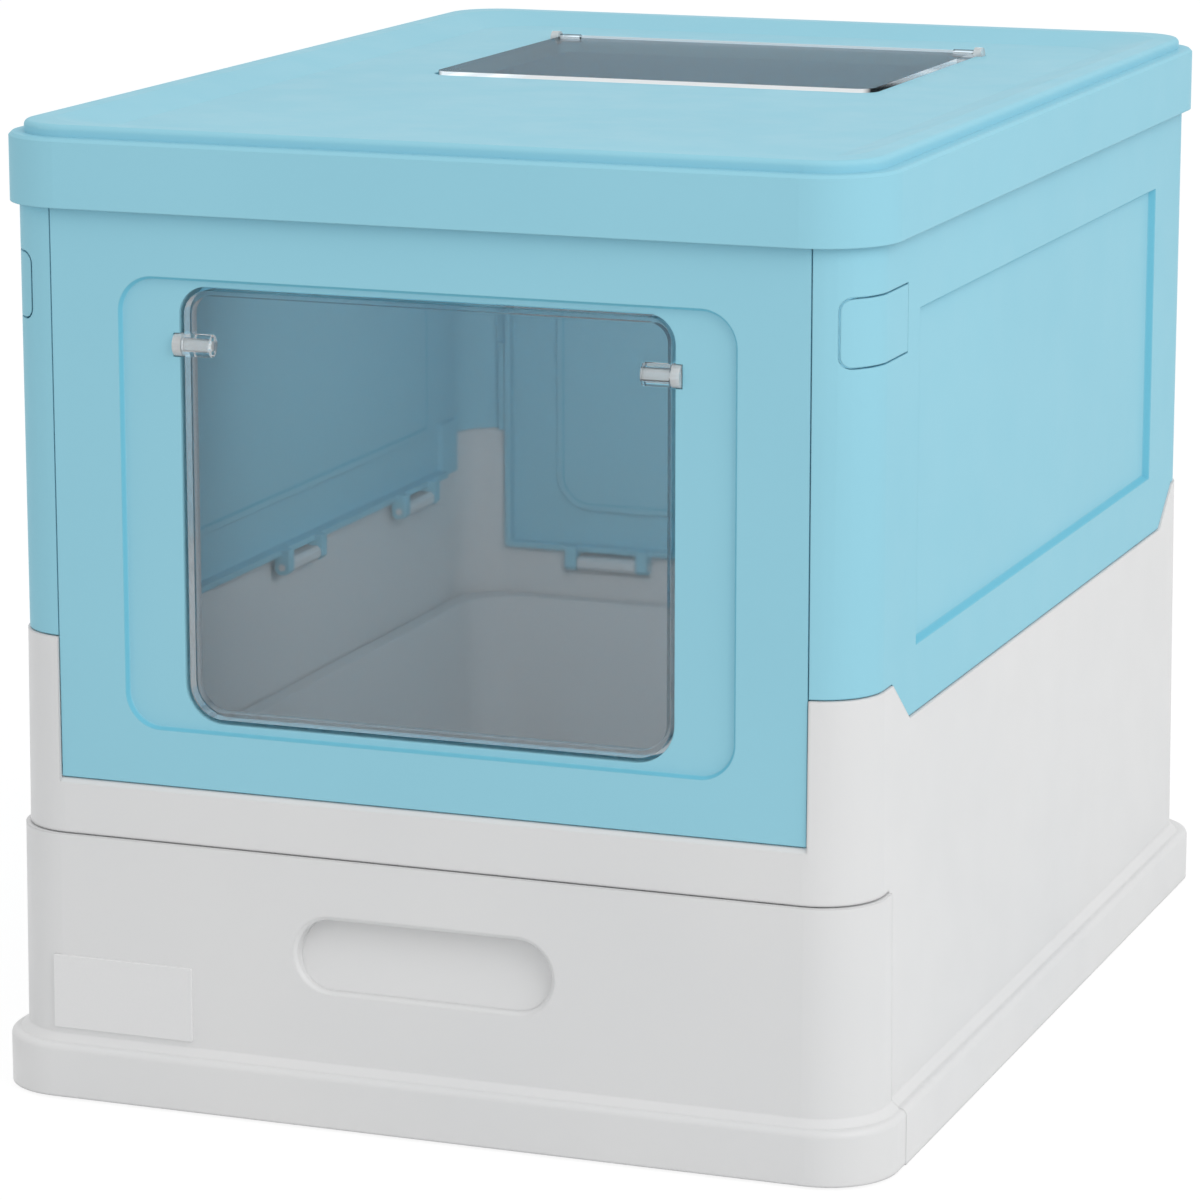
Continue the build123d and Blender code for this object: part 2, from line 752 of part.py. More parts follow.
# Front flap pins: a shaft in the flap's boss and a head in the jamb's notch
with BuildPart() as front_flap_pin_right:
    with BuildSketch(Plane.YZ.offset(boss_end - door_boss_length)):
        with Locations((-door_pivot_y, door_pivot_z)):
            Circle(flap_pin_radius)
    extrude(amount=door_boss_length + flap_gap)
    with BuildSketch(Plane.YZ.offset(boss_end + pin_head_gap)):
        with Locations((-door_pivot_y, door_pivot_z)):
            Circle(door_boss_radius)
    extrude(amount=flap_gap + wall_skin - 2 * pin_head_gap)
front_flap_pin_right.part.label = "front_flap_pin_right"
export_step(front_flap_pin_right.part, "parts/front_flap_pin_right.step")

with BuildPart() as front_flap_pin_left:
    mirror(front_flap_pin_right.part, about=Plane.YZ)
front_flap_pin_left.part.label = "front_flap_pin_left"
export_step(front_flap_pin_left.part, "parts/front_flap_pin_left.step")


# Lid
skirt_bottom = lid_seat - skirt_drop
border_width_outer = lid_width - 2 * border_inset
border_depth_outer = lid_depth - 2 * border_inset
border_corner = lid_corner - border_inset
top_door_rear = lid_depth / 2 - top_door_setback
top_door_middle = top_door_rear - top_door_length / 2
top_pivot_y = top_door_rear - top_pivot_setback
top_pivot_z = lid_field
top_flap_top = lid_field + top_flap_proud
top_flap_bottom = top_flap_top - flap_sheet


def top_door_outline(grow):
    """Top opening, grown all round."""
    with Locations((0, top_door_middle)):
        RectangleRounded(top_door_width + 2 * grow, top_door_length + 2 * grow, top_door_corner + grow)


def border_outline(inset):
    """Outline of the lid's border, moved inwards."""
    RectangleRounded(border_width_outer - 2 * inset, border_depth_outer - 2 * inset, border_corner)


def dish(drop):
    """Shallow dish from the border's crest to the lid's field, lowered by a drop."""
    with BuildPart() as bowl:
        with BuildSketch(Plane.XY.offset(lid_top - drop)):
            border_outline(border_crest)
        with BuildSketch(Plane.XY.offset(lid_field - drop)):
            border_outline(border_width)
        loft()
    return bowl.part


def border_room():
    """Hollow under the border, a skin's thickness below its outside and below the dish."""
    with BuildPart() as room:
        with BuildSketch(Plane.XY.offset(lid_seat)):
            border_outline(lid_skin)
        extrude(amount=border_rise)
        add(dish(lid_skin), mode=Mode.SUBTRACT)
    return room.part


with BuildPart() as lid:
    # Skirt and the raised border
    with BuildSketch(Plane.XY.offset(skirt_bottom)):
        RectangleRounded(lid_width, lid_depth, lid_corner)
    extrude(amount=lid_field - skirt_bottom)
    chamfer(lid.edges().group_by(Axis.Z)[-1], skirt_bevel)
    with BuildSketch(Plane.XY.offset(lid_field)):
        border_outline(0)
    extrude(amount=border_rise)
    fillet(lid.edges().group_by(Axis.Z)[-1], border_round)

    # Dish inside the border, and the hollows under the skirt and under the border
    add(dish(0), mode=Mode.SUBTRACT)
    with BuildSketch(Plane.XY.offset(skirt_bottom)):
        RectangleRounded(lid_width - 2 * lid_skin, lid_depth - 2 * lid_skin, lid_corner - lid_skin)
    extrude(amount=skirt_drop, mode=Mode.SUBTRACT)
    add(border_room(), mode=Mode.SUBTRACT)

    # Top opening with its reveal and the ledge under the flap's free edge
    with BuildSketch(Plane.XY.offset(lid_seat - top_reveal)):
        top_door_outline(lid_skin)
    extrude(amount=top_reveal + lid_skin)
    with BuildSketch(Plane.XY.offset(lid_seat - top_reveal)):
        top_door_outline(0)
    extrude(amount=top_reveal + lid_skin + overrun, mode=Mode.SUBTRACT)
    with BuildSketch(Plane.XY.offset(top_flap_bottom)):
        with Locations((0, top_door_middle - top_door_length / 2)):
            Rectangle(top_door_width - 2 * top_door_corner, top_ledge, align=(Align.CENTER, Align.MIN))
    extrude(amount=-lid_skin)

    # Notches for the pin heads, open upwards
    head_hole = top_head_radius + flap_pin_fit
    with BuildSketch(Plane.YZ.offset(-top_door_width / 2 - lid_skin)):
        with Locations((top_pivot_y, top_pivot_z)):
            Circle(head_hole)
            Rectangle(2 * head_hole, overrun, align=(Align.CENTER, Align.MIN))
    extrude(amount=top_door_width + 2 * lid_skin, mode=Mode.SUBTRACT)
lid.part.label = "lid"
export_step(lid.part, "parts/lid.step")


# Top flap
with BuildPart() as top_flap:
    with BuildSketch(Plane.XY.offset(top_flap_bottom)):
        top_door_outline(-flap_gap)
    extrude(amount=flap_sheet)
    boss_reach = top_door_width / 2 - flap_gap
    for side in (-1, 1):
        with BuildSketch(Plane.YZ.offset(side * boss_reach)):
            with Locations((top_pivot_y, top_pivot_z)):
                Circle(top_boss_radius)
        extrude(amount=-side * top_boss_length)
        with BuildSketch(Plane.YZ.offset(side * boss_reach)):
            with Locations((top_pivot_y, top_pivot_z)):
                Circle(top_pin_radius + flap_pin_fit)
        extrude(amount=-side * top_boss_length, mode=Mode.SUBTRACT)
top_flap.part.label = "top_flap"
export_step(top_flap.part, "parts/top_flap.step")


# Top flap pins: a shaft in the flap's boss and a head in the lid's notch
with BuildPart() as top_flap_pin_right:
    with BuildSketch(Plane.YZ.offset(boss_reach - top_boss_length)):
        with Locations((top_pivot_y, top_pivot_z)):
            Circle(top_pin_radius)
    extrude(amount=top_boss_length + flap_gap)
    with BuildSketch(Plane.YZ.offset(boss_reach + pin_head_gap)):
        with Locations((top_pivot_y, top_pivot_z)):
            Circle(top_head_radius)
    extrude(amount=flap_gap + lid_skin - 2 * pin_head_gap)
top_flap_pin_right.part.label = "top_flap_pin_right"
export_step(top_flap_pin_right.part, "parts/top_flap_pin_right.step")

with BuildPart() as top_flap_pin_left:
    mirror(top_flap_pin_right.part, about=Plane.YZ)
top_flap_pin_left.part.label = "top_flap_pin_left"
export_step(top_flap_pin_left.part, "parts/top_flap_pin_left.step")
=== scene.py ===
import math
from types import SimpleNamespace

import bmesh
import bpy
from mathutils import Matrix, Vector


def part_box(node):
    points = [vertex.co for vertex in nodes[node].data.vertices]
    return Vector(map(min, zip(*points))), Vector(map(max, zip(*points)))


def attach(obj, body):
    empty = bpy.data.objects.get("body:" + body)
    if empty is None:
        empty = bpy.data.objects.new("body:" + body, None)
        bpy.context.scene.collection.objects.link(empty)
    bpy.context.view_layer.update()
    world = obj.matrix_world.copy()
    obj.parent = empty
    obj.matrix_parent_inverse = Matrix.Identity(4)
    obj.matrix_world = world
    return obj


# Looks of the foldable litter box: satin white base and drawer, pale blue walls and lid, smoked flaps.
# Metres, in the frame of the solids: origin on the ground under the middle, the doorway faces -Y.

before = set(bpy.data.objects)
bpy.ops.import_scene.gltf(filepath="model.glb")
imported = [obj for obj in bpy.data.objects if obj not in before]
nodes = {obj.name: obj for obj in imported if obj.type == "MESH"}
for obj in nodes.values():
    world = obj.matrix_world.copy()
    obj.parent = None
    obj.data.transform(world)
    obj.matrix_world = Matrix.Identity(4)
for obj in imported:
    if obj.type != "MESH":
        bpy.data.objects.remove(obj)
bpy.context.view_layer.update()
scene = bpy.context.scene
scene.view_settings.view_transform = "Standard"

# Colours, as light values
WHITE_PLASTIC = (0.78, 0.78, 0.78, 1.0)
WHITE_SHADE = (0.75, 0.755, 0.76, 1.0)
BLUE_PLASTIC = (0.325, 0.66, 0.785, 1.0)
BLUE_SHADE = (0.315, 0.645, 0.77, 1.0)
# Painted shade in the fold round the walls' sunk fields
BLUE_FOLD_PAINTED_SHADE = (0.19, 0.56, 0.71, 1.0)
SMOKED_DOOR = (0.52, 0.545, 0.565, 1.0)
SMOKED_TOP = (0.25, 0.30, 0.33, 1.0)
# Glow of the painted highlight on the smoked sheets' edges
SHEET_EDGE_HIGHLIGHT = (0.95, 0.98, 1.0, 1.0)
DARK = (0.0, 0.0, 0.0, 1.0)
CLEAR = (0.93, 0.95, 0.96, 1.0)
CLEAR_HAZE = (0.88, 0.91, 0.92, 1.0)
NYLON = (0.76, 0.76, 0.75, 1.0)
CARD = (0.815, 0.815, 0.815, 1.0)
CARD_FLECK = (0.785, 0.785, 0.79, 1.0)
FLOOR_COLOUR = (0.82, 0.82, 0.82, 1.0)
WORLD_COLOUR = (1.0, 1.0, 1.0, 1.0)

# Noise patterns: how fine each is and how many finer layers it has, and the range that most of a noise fills
NOISE_RANGE = (0.3, 0.7)
MOULD_GRAIN_SCALE = 900.0
NYLON_GRAIN_SCALE = 1500.0
GRAIN_DETAIL = 2.0
GRAIN_SHARE = 0.35
ORANGE_PEEL = dict(scale=160.0, detail=1.0)
FLOW_MARKS = dict(scale=9.0, detail=2.0, roughness=0.4)
GLOSS_MARKS = dict(scale=45.0, detail=3.0)
SHEET_HAZE = dict(scale=60.0, detail=3.0)
SHEET_FLOW = dict(scale=12.0, detail=2.0)
SHEET_FLOW_LIGHT = 1.05
PIN_HAZE = dict(scale=300.0, detail=2.0)
CARD_GRAIN = dict(scale=1400.0, detail=3.0)

# Roughness of each finish, from its glossiest to its dullest places
WHITE_ROUGHNESS = (0.36, 0.46)
BLUE_ROUGHNESS = (0.34, 0.44)
NYLON_ROUGHNESS = (0.45, 0.55)
SHEET_ROUGHNESS = (0.03, 0.06)
PIN_ROUGHNESS = (0.10, 0.22)
CARD_ROUGHNESS = (0.38, 0.5)
FLOOR_ROUGHNESS = 0.9

# Reflection and clearness
PLASTIC_INDEX = 1.5
WHITE_SHEEN = 0.45
BLUE_SHEEN = 0.02
DOOR_INDEX = 1.3
TOP_INDEX = 1.02
DOOR_CLEARNESS = 0.94
TOP_CLEARNESS = 0.99
PIN_CLEARNESS = 0.45

# Painted highlight: glow given off by the edges of the smoked sheets, and how squarely a face has to turn to
# count as an edge
DOOR_EDGE_GLOW = 0.18
TOP_EDGE_GLOW = 0.8
EDGE_FACING = (0.5, 0.9)

# Bump and rounded edges
GRAIN_STRENGTH = 0.10
GRAIN_DEPTH = 0.0001
CARD_STRENGTH = 0.05
CARD_DEPTH = 0.00005
EDGE_SAMPLES = 6
WHITE_EDGE_ROUND = 0.0014
BLUE_EDGE_ROUND = 0.0006
NO_EDGE_ROUND = 0.0

# Ripples on the lid's field, in front of its opening
LID_FIELD_HEIGHT = 0.3677
LID_FIELD_MARGINS = (0.002, 0.001)
RIPPLE_STRETCH = (24.0, 85.0, 1.0)
RIPPLE_WAVES = dict(scale=1.0, detail=0.0)
RIPPLE_HEIGHT = 14.0
RIPPLE_HALF_WIDTH = 0.135
RIPPLE_FRONT = -0.195
RIPPLE_REAR = 0.004
RIPPLE_FADE = 0.03
RIPPLE_REAR_FADE = 0.02

# Sunk fields of the walls, with painted shade, a darker blue, in the fold round each; the fold's borders are
# counted in slopes from the outline, inwards negative
SIDE_FIELD = SimpleNamespace(along="Y", half=(0.1700, 0.0624), height=0.2504, corner=0.0005, slope=0.0014)
END_FIELD = SimpleNamespace(along="X", half=(0.1210, 0.0859), height=0.2322, corner=0.014, slope=0.0009)
FOLD_FOOT = (-1.5, -0.8)
FOLD_HEAD = (-0.3, 0.3)

# Front flap
DOOR_MIDDLE_HEIGHT = 0.2325
DOOR_HALF_FADE = 0.001
DOOR_BOSS_INNER = 0.0844
DOOR_BOSS_HEIGHT = 0.2928
DOOR_BOSS_REACH = 0.0042
DOOR_BOSS_FADE = 0.0004

# Bare plate on the drawer front, which leans and flares out at its foot
DRAWER_LEAN = math.radians(0.6)
DRAWER_FLARE = 0.0053
PLATE_CENTRE = (-0.123, 0.0411)
PLATE_SIZE = (0.058, 0.0288)
PLATE_THICKNESS = 0.0009
PLATE_CORNER = 0.0008
PLATE_CORNER_STEPS = 3
PLATE_RIM = PLATE_THICKNESS / 3
PLATE_RIM_STEPS = 2

# Floor, surroundings, lamps and camera
FLOOR_HALF = 6.0
FLOOR_DROP = 0.0005
FLOOR_GLOW = 1.1
FLOOR_GLOW_SHARE = 0.8
WORLD_LIGHT = 0.78
WORLD_SEEN = 1.0
KEY_LAMP = dict(place=(1.9, -1.1, 1.7), target=(0.0, 0.0, 0.18), size=1.6, power=18.0)
FILL_LAMP = dict(place=(0.05, -0.12, 0.28), target=(-0.06, 0.22, 0.19), size=0.1, power=0.34)
FILL_SPREAD = math.radians(130)
CAMERA_PLACE = (0.69043, -1.89065, 0.59856)
CAMERA_TARGET = (-0.01412, -0.00957, 0.15769)
CAMERA_LENS = 150.917
CAMERA_SENSOR = 36.0
CAMERA_REACH = 50.0


def new_group(name, inputs, outputs):
    """Empty shader group with named number and vector sockets."""
    group = bpy.data.node_groups.new(name, "ShaderNodeTree")
    for label, kind, value in inputs:
        socket = group.interface.new_socket(label, in_out="INPUT", socket_type=kind)
        if value is not None:
            socket.default_value = value
    for label, kind in outputs:
        group.interface.new_socket(label, in_out="OUTPUT", socket_type=kind)
    start = group.nodes.new("NodeGroupInput")
    end = group.nodes.new("NodeGroupOutput")
    return group, start, end


def noise(tree, vector, scale, detail, roughness=0.5):
    """Noise texture on a vector; scale may be a number or a socket."""
    node = tree.nodes.new("ShaderNodeTexNoise")
    node.inputs["Detail"].default_value = detail
    node.inputs["Roughness"].default_value = roughness
    tree.links.new(vector, node.inputs["Vector"])
    if isinstance(scale, (int, float)):
        node.inputs["Scale"].default_value = scale
    else:
        tree.links.new(scale, node.inputs["Scale"])
    return node.outputs["Fac"]


def map_range(tree, value, borders, results, smooth=False):
    """Value stretched from one range to another, held at its ends."""
    node = tree.nodes.new("ShaderNodeMapRange")
    node.clamp = True
    node.interpolation_type = "SMOOTHSTEP" if smooth else "LINEAR"
    labels = ("From Min", "From Max", "To Min", "To Max")
    for label, number in zip(labels, borders + results):
        node.inputs[label].default_value = number
    tree.links.new(value, node.inputs["Value"])
    return node.outputs["Result"]


def rising(tree, value, low, high, smooth=False):
    """Mask from 0 to 1 between two borders."""
    return map_range(tree, value, (low, high), (0.0, 1.0), smooth)


def falling(tree, value, low, high, smooth=False):
    """Mask from 1 to 0 between two borders."""
    return map_range(tree, value, (low, high), (1.0, 0.0), smooth)


def math_node(tree, operation, *values):
    """One sum on sockets or numbers."""
    node = tree.nodes.new("ShaderNodeMath")
    node.operation = operation
    for socket, value in zip(node.inputs, values):
        if isinstance(value, (int, float)):
            socket.default_value = value
        else:
            tree.links.new(value, socket)
    return node.outputs["Value"]


def split_vector(tree, vector):
    """The three parts of a vector."""
    node = tree.nodes.new("ShaderNodeSeparateXYZ")
    tree.links.new(vector, node.inputs["Vector"])
    return node.outputs


def colour_mix(tree, factor, first, second):
    """Colour between two, by a mask; the first may be a socket."""
    node = tree.nodes.new("ShaderNodeMix")
    node.data_type = "RGBA"
    colours = [socket for socket in node.inputs if socket.type == "RGBA"]
    if isinstance(first, tuple):
        colours[0].default_value = first
    else:
        tree.links.new(first, colours[0])
    colours[1].default_value = second
    tree.links.new(factor, node.inputs["Factor"])
    return next(socket for socket in node.outputs if socket.type == "RGBA")


def moulded_skin_group():
    """Skin of a moulded piece: fine grain, slow flow marks and uneven gloss."""
    group, start, end = new_group(
        "moulded_skin",
        [("Vector", "NodeSocketVector", None), ("Grain Scale", "NodeSocketFloat", MOULD_GRAIN_SCALE)],
        [("Height", "NodeSocketFloat"), ("Flow", "NodeSocketFloat"), ("Gloss", "NodeSocketFloat")],
    )
    place = start.outputs["Vector"]
    grain = noise(group, place, start.outputs["Grain Scale"], GRAIN_DETAIL)
    orange_peel = noise(group, place, **ORANGE_PEEL)
    height = math_node(group, "MULTIPLY_ADD", grain, GRAIN_SHARE, orange_peel)
    flow = noise(group, place, **FLOW_MARKS)
    gloss = noise(group, place, **GLOSS_MARKS)
    group.links.new(height, end.inputs["Height"])
    group.links.new(rising(group, flow, *NOISE_RANGE), end.inputs["Flow"])
    group.links.new(rising(group, gloss, *NOISE_RANGE), end.inputs["Gloss"])
    return group


def field_edge_group():
    """Mask of the narrow slope round a sunk field, a rounded frame given by its half sizes and corner; it
    places the walls' painted shade.
    """
    labels = ("Across", "Up", "Half Width", "Half Height", "Corner", "Slope")
    inputs = [(label, "NodeSocketFloat", 0.0) for label in labels]
    group, start, end = new_group("field_edge", inputs, [("Mask", "NodeSocketFloat")])
    across, up, half_width, half_height, corner, slope = [start.outputs[label] for label in labels]
    beyond = []
    for place, half in ((across, half_width), (up, half_height)):
        straight = math_node(group, "SUBTRACT", half, corner)
        beyond.append(math_node(group, "SUBTRACT", math_node(group, "ABSOLUTE", place), straight))
    squares = []
    for distance in beyond:
        outer = math_node(group, "MAXIMUM", distance, 0.0)
        squares.append(math_node(group, "MULTIPLY", outer, outer))
    outside = math_node(group, "SQRT", math_node(group, "ADD", *squares))
    inside = math_node(group, "MINIMUM", math_node(group, "MAXIMUM", *beyond), 0.0)
    reach = math_node(group, "SUBTRACT", math_node(group, "ADD", outside, inside), corner)
    in_slopes = math_node(group, "DIVIDE", reach, slope)
    foot = rising(group, in_slopes, *FOLD_FOOT, smooth=True)
    head = falling(group, in_slopes, *FOLD_HEAD, smooth=True)
    group.links.new(math_node(group, "MULTIPLY", foot, head), end.inputs["Mask"])
    return group


moulded_skin = moulded_skin_group()
field_edge = field_edge_group()


def start_finish(name):
    """Material with its tree, its shader, and the place and normal in the object's own coordinates."""
    material = bpy.data.materials.new(name)
    material.use_nodes = True
    tree = material.node_tree
    coordinates = tree.nodes.new("ShaderNodeTexCoord")
    return SimpleNamespace(
        material=material,
        tree=tree,
        shader=tree.nodes["Principled BSDF"],
        place=coordinates.outputs["Object"],
        normal=coordinates.outputs["Normal"],
    )


def tint(finish, mask, colour):
    """A colour over a finish's own one, by a mask."""
    base = finish.shader.inputs["Base Color"]
    finish.tree.links.new(colour_mix(finish.tree, mask, base.links[0].from_socket, colour), base)


def add_bump(finish, height, strength, depth, edge_round):
    """Bump on top of softly rounded edges."""
    tree = finish.tree
    bump = tree.nodes.new("ShaderNodeBump")
    bump.inputs["Strength"].default_value = strength
    bump.inputs["Distance"].default_value = depth
    tree.links.new(height, bump.inputs["Height"])
    if edge_round:
        rounded = tree.nodes.new("ShaderNodeBevel")
        rounded.samples = EDGE_SAMPLES
        rounded.inputs["Radius"].default_value = edge_round
        tree.links.new(rounded.outputs["Normal"], bump.inputs["Normal"])
    tree.links.new(bump.outputs["Normal"], finish.shader.inputs["Normal"])
    return bump


def moulded_finish(name, colour, shade, sheen, roughness, grain_scale, edge_round):
    """Satin moulded plastic; sheen is its level of reflection."""
    finish = start_finish(name)
    tree = finish.tree
    shader = finish.shader
    skin = tree.nodes.new("ShaderNodeGroup")
    skin.node_tree = moulded_skin
    skin.inputs["Grain Scale"].default_value = grain_scale
    tree.links.new(finish.place, skin.inputs["Vector"])
    tree.links.new(colour_mix(tree, skin.outputs["Flow"], colour, shade), shader.inputs["Base Color"])
    dullness = map_range(tree, skin.outputs["Gloss"], (0.0, 1.0), roughness)
    tree.links.new(dullness, shader.inputs["Roughness"])
    shader.inputs["IOR"].default_value = PLASTIC_INDEX
    shader.inputs["Specular IOR Level"].default_value = sheen
    finish.height = skin.outputs["Height"]
    finish.bump = add_bump(finish, finish.height, GRAIN_STRENGTH, GRAIN_DEPTH, edge_round)
    return finish


def white_finish():
    """Satin white of the base and the drawer."""
    return moulded_finish(
        "white_plastic", WHITE_PLASTIC, WHITE_SHADE, WHITE_SHEEN,
        WHITE_ROUGHNESS, MOULD_GRAIN_SCALE, WHITE_EDGE_ROUND,
    )


def nylon_finish():
    """Plain nylon of the hinge pins."""
    return moulded_finish(
        "hinge_nylon", NYLON, WHITE_SHADE, WHITE_SHEEN,
        NYLON_ROUGHNESS, NYLON_GRAIN_SCALE, NO_EDGE_ROUND,
    )


def blue_finish(name):
    """Satin pale blue of the walls and the lid."""
    return moulded_finish(
        name, BLUE_PLASTIC, BLUE_SHADE, BLUE_SHEEN,
        BLUE_ROUGHNESS, MOULD_GRAIN_SCALE, BLUE_EDGE_ROUND,
    )


def wall_finish(name, field):
    """The walls' blue, with painted shade: a darker blue in the fold round the sunk field."""
    finish = blue_finish(name)
    tree = finish.tree
    place = split_vector(tree, finish.place)
    half_width, half_height = field.half
    fold = tree.nodes.new("ShaderNodeGroup")
    fold.node_tree = field_edge
    fold.inputs["Half Width"].default_value = half_width
    fold.inputs["Half Height"].default_value = half_height
    fold.inputs["Corner"].default_value = field.corner
    fold.inputs["Slope"].default_value = field.slope
    tree.links.new(place[field.along], fold.inputs["Across"])
    tree.links.new(math_node(tree, "SUBTRACT", place["Z"], field.height), fold.inputs["Up"])
    # Painted shade: the fold round the field is darkened in the colour itself
    tint(finish, fold.outputs["Mask"], BLUE_FOLD_PAINTED_SHADE)
    return finish


def lid_finish():
    """The walls' blue, with low ripples on the lid's sunk field."""
    finish = blue_finish("blue_lid_plastic")
    tree = finish.tree
    stretch = tree.nodes.new("ShaderNodeMapping")
    stretch.inputs["Scale"].default_value = RIPPLE_STRETCH
    tree.links.new(finish.place, stretch.inputs["Vector"])
    ripples = noise(tree, stretch.outputs["Vector"], **RIPPLE_WAVES)
    place = split_vector(tree, finish.place)
    side = math_node(tree, "ABSOLUTE", place["X"])
    masks = (
        falling(tree, side, RIPPLE_HALF_WIDTH - RIPPLE_FADE, RIPPLE_HALF_WIDTH, smooth=True),
        rising(tree, place["Y"], RIPPLE_FRONT, RIPPLE_FRONT + RIPPLE_FADE, smooth=True),
        falling(tree, place["Y"], RIPPLE_REAR - RIPPLE_REAR_FADE, RIPPLE_REAR, smooth=True),
        rising(tree, place["Z"], *[LID_FIELD_HEIGHT - margin for margin in LID_FIELD_MARGINS]),
    )
    for mask in masks:
        ripples = math_node(tree, "MULTIPLY", ripples, mask)
    height = math_node(tree, "MULTIPLY_ADD", ripples, RIPPLE_HEIGHT, finish.height)
    tree.links.new(height, finish.bump.inputs["Height"])
    return finish


def smoked_finish(name, colour, index, clearness):
    """Smoked clear sheet, polished, with faint flow marks."""
    finish = start_finish(name)
    tree = finish.tree
    shader = finish.shader
    haze = noise(tree, finish.place, **SHEET_HAZE)
    tree.links.new(map_range(tree, haze, NOISE_RANGE, SHEET_ROUGHNESS), shader.inputs["Roughness"])
    flow = noise(tree, finish.place, **SHEET_FLOW)
    lighter = tuple(min(1.0, value * SHEET_FLOW_LIGHT) for value in colour[:3]) + (1.0,)
    tree.links.new(colour_mix(tree, flow, colour, lighter), shader.inputs["Base Color"])
    shader.inputs["Transmission Weight"].default_value = clearness
    shader.inputs["IOR"].default_value = index
    return finish


def paint_edge_highlight(finish, mask, glow):
    """Painted highlight: edges of a sheet made to glow."""
    edge = colour_mix(finish.tree, mask, DARK, SHEET_EDGE_HIGHLIGHT)
    finish.tree.links.new(edge, finish.shader.inputs["Emission Color"])
    finish.shader.inputs["Emission Strength"].default_value = glow


def top_finish():
    """The top flap's smoked sheet, with a painted highlight, a glowing line, along its front edge."""
    finish = smoked_finish("smoked_top_sheet", SMOKED_TOP, TOP_INDEX, TOP_CLEARNESS)
    facing = split_vector(finish.tree, finish.normal)
    slanted, square = EDGE_FACING
    # Painted highlight along the front edge
    paint_edge_highlight(finish, falling(finish.tree, facing["Y"], -square, -slanted), TOP_EDGE_GLOW)
    return finish


def door_finish():
    """The front flap's smoked sheet, clear in its bosses, with painted highlights, glowing lines, inside its
    left and lower rim.
    """
    finish = smoked_finish("smoked_door_sheet", SMOKED_DOOR, DOOR_INDEX, DOOR_CLEARNESS)
    tree = finish.tree
    place = split_vector(tree, finish.place)
    facing = split_vector(tree, finish.normal)
    rims = []
    for axis, middle in (("X", 0.0), ("Z", DOOR_MIDDLE_HEIGHT)):
        inwards = rising(tree, facing[axis], *EDGE_FACING)
        low_half = falling(tree, place[axis], middle - DOOR_HALF_FADE, middle)
        rims.append(math_node(tree, "MULTIPLY", inwards, low_half))
    # Painted highlight on the inner faces of the left and lower rim
    paint_edge_highlight(finish, math_node(tree, "MAXIMUM", *rims), DOOR_EDGE_GLOW)
    side = math_node(tree, "ABSOLUTE", place["X"])
    rise = math_node(tree, "ABSOLUTE", math_node(tree, "SUBTRACT", place["Z"], DOOR_BOSS_HEIGHT))
    outer = rising(tree, side, DOOR_BOSS_INNER - DOOR_BOSS_FADE, DOOR_BOSS_INNER)
    level = falling(tree, rise, DOOR_BOSS_REACH, DOOR_BOSS_REACH + DOOR_BOSS_FADE)
    tint(finish, math_node(tree, "MULTIPLY", outer, level), CLEAR)
    return finish


def clear_pin_finish():
    """Clear plastic of the flap pins, a little milky."""
    finish = start_finish("clear_pin_plastic")
    tree = finish.tree
    shader = finish.shader
    haze = noise(tree, finish.place, **PIN_HAZE)
    tree.links.new(map_range(tree, haze, NOISE_RANGE, PIN_ROUGHNESS), shader.inputs["Roughness"])
    tree.links.new(colour_mix(tree, haze, CLEAR, CLEAR_HAZE), shader.inputs["Base Color"])
    shader.inputs["Transmission Weight"].default_value = PIN_CLEARNESS
    shader.inputs["IOR"].default_value = PLASTIC_INDEX
    return finish


def card_finish():
    """Smooth card of the bare plate, with a faint paper fleck."""
    finish = start_finish("plate_card")
    tree = finish.tree
    shader = finish.shader
    fleck = noise(tree, finish.place, **CARD_GRAIN)
    tree.links.new(colour_mix(tree, fleck, CARD, CARD_FLECK), shader.inputs["Base Color"])
    tree.links.new(map_range(tree, fleck, NOISE_RANGE, CARD_ROUGHNESS), shader.inputs["Roughness"])
    add_bump(finish, fleck, CARD_STRENGTH, CARD_DEPTH, NO_EDGE_ROUND)
    return finish


# Solids of each finish
FLAP_PINS = ("front_flap_pin_left", "front_flap_pin_right", "top_flap_pin_left", "top_flap_pin_right")
HINGE_PINS = ("front_hinge_pins", "rear_hinge_pins", "left_hinge_pins", "right_hinge_pins")
DRESSED = (
    (white_finish(), ("base_shell", "drawer_front", "drawer_pan")),
    (wall_finish("blue_side_plastic", SIDE_FIELD), ("left_wall", "right_wall", "latch_left", "latch_right")),
    (wall_finish("blue_end_plastic", END_FIELD), ("front_wall", "rear_wall")),
    (nylon_finish(), HINGE_PINS),
    (lid_finish(), ("lid",)),
    (door_finish(), ("front_flap",)),
    (top_finish(), ("top_flap",)),
    (clear_pin_finish(), FLAP_PINS),
)


def dress_solids():
    """Each solid gets its finish in its own material slots."""
    for finish, names in DRESSED:
        for name in names:
            mesh = nodes[name].data
            mesh.materials.clear()
            mesh.materials.append(finish.material)


def drawer_face(height):
    """Where the drawer's leaning front lies at a height, read from the drawer front's own box."""
    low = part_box("drawer_front")[0]
    return low.y + DRAWER_FLARE + height * math.tan(DRAWER_LEAN)


def round_edges(mesh, edges, offset, steps):
    """Edges rounded by a few steps."""
    bmesh.ops.bevel(mesh, geom=edges, offset=offset, segments=steps, profile=0.5, affect="EDGES", material=-1)


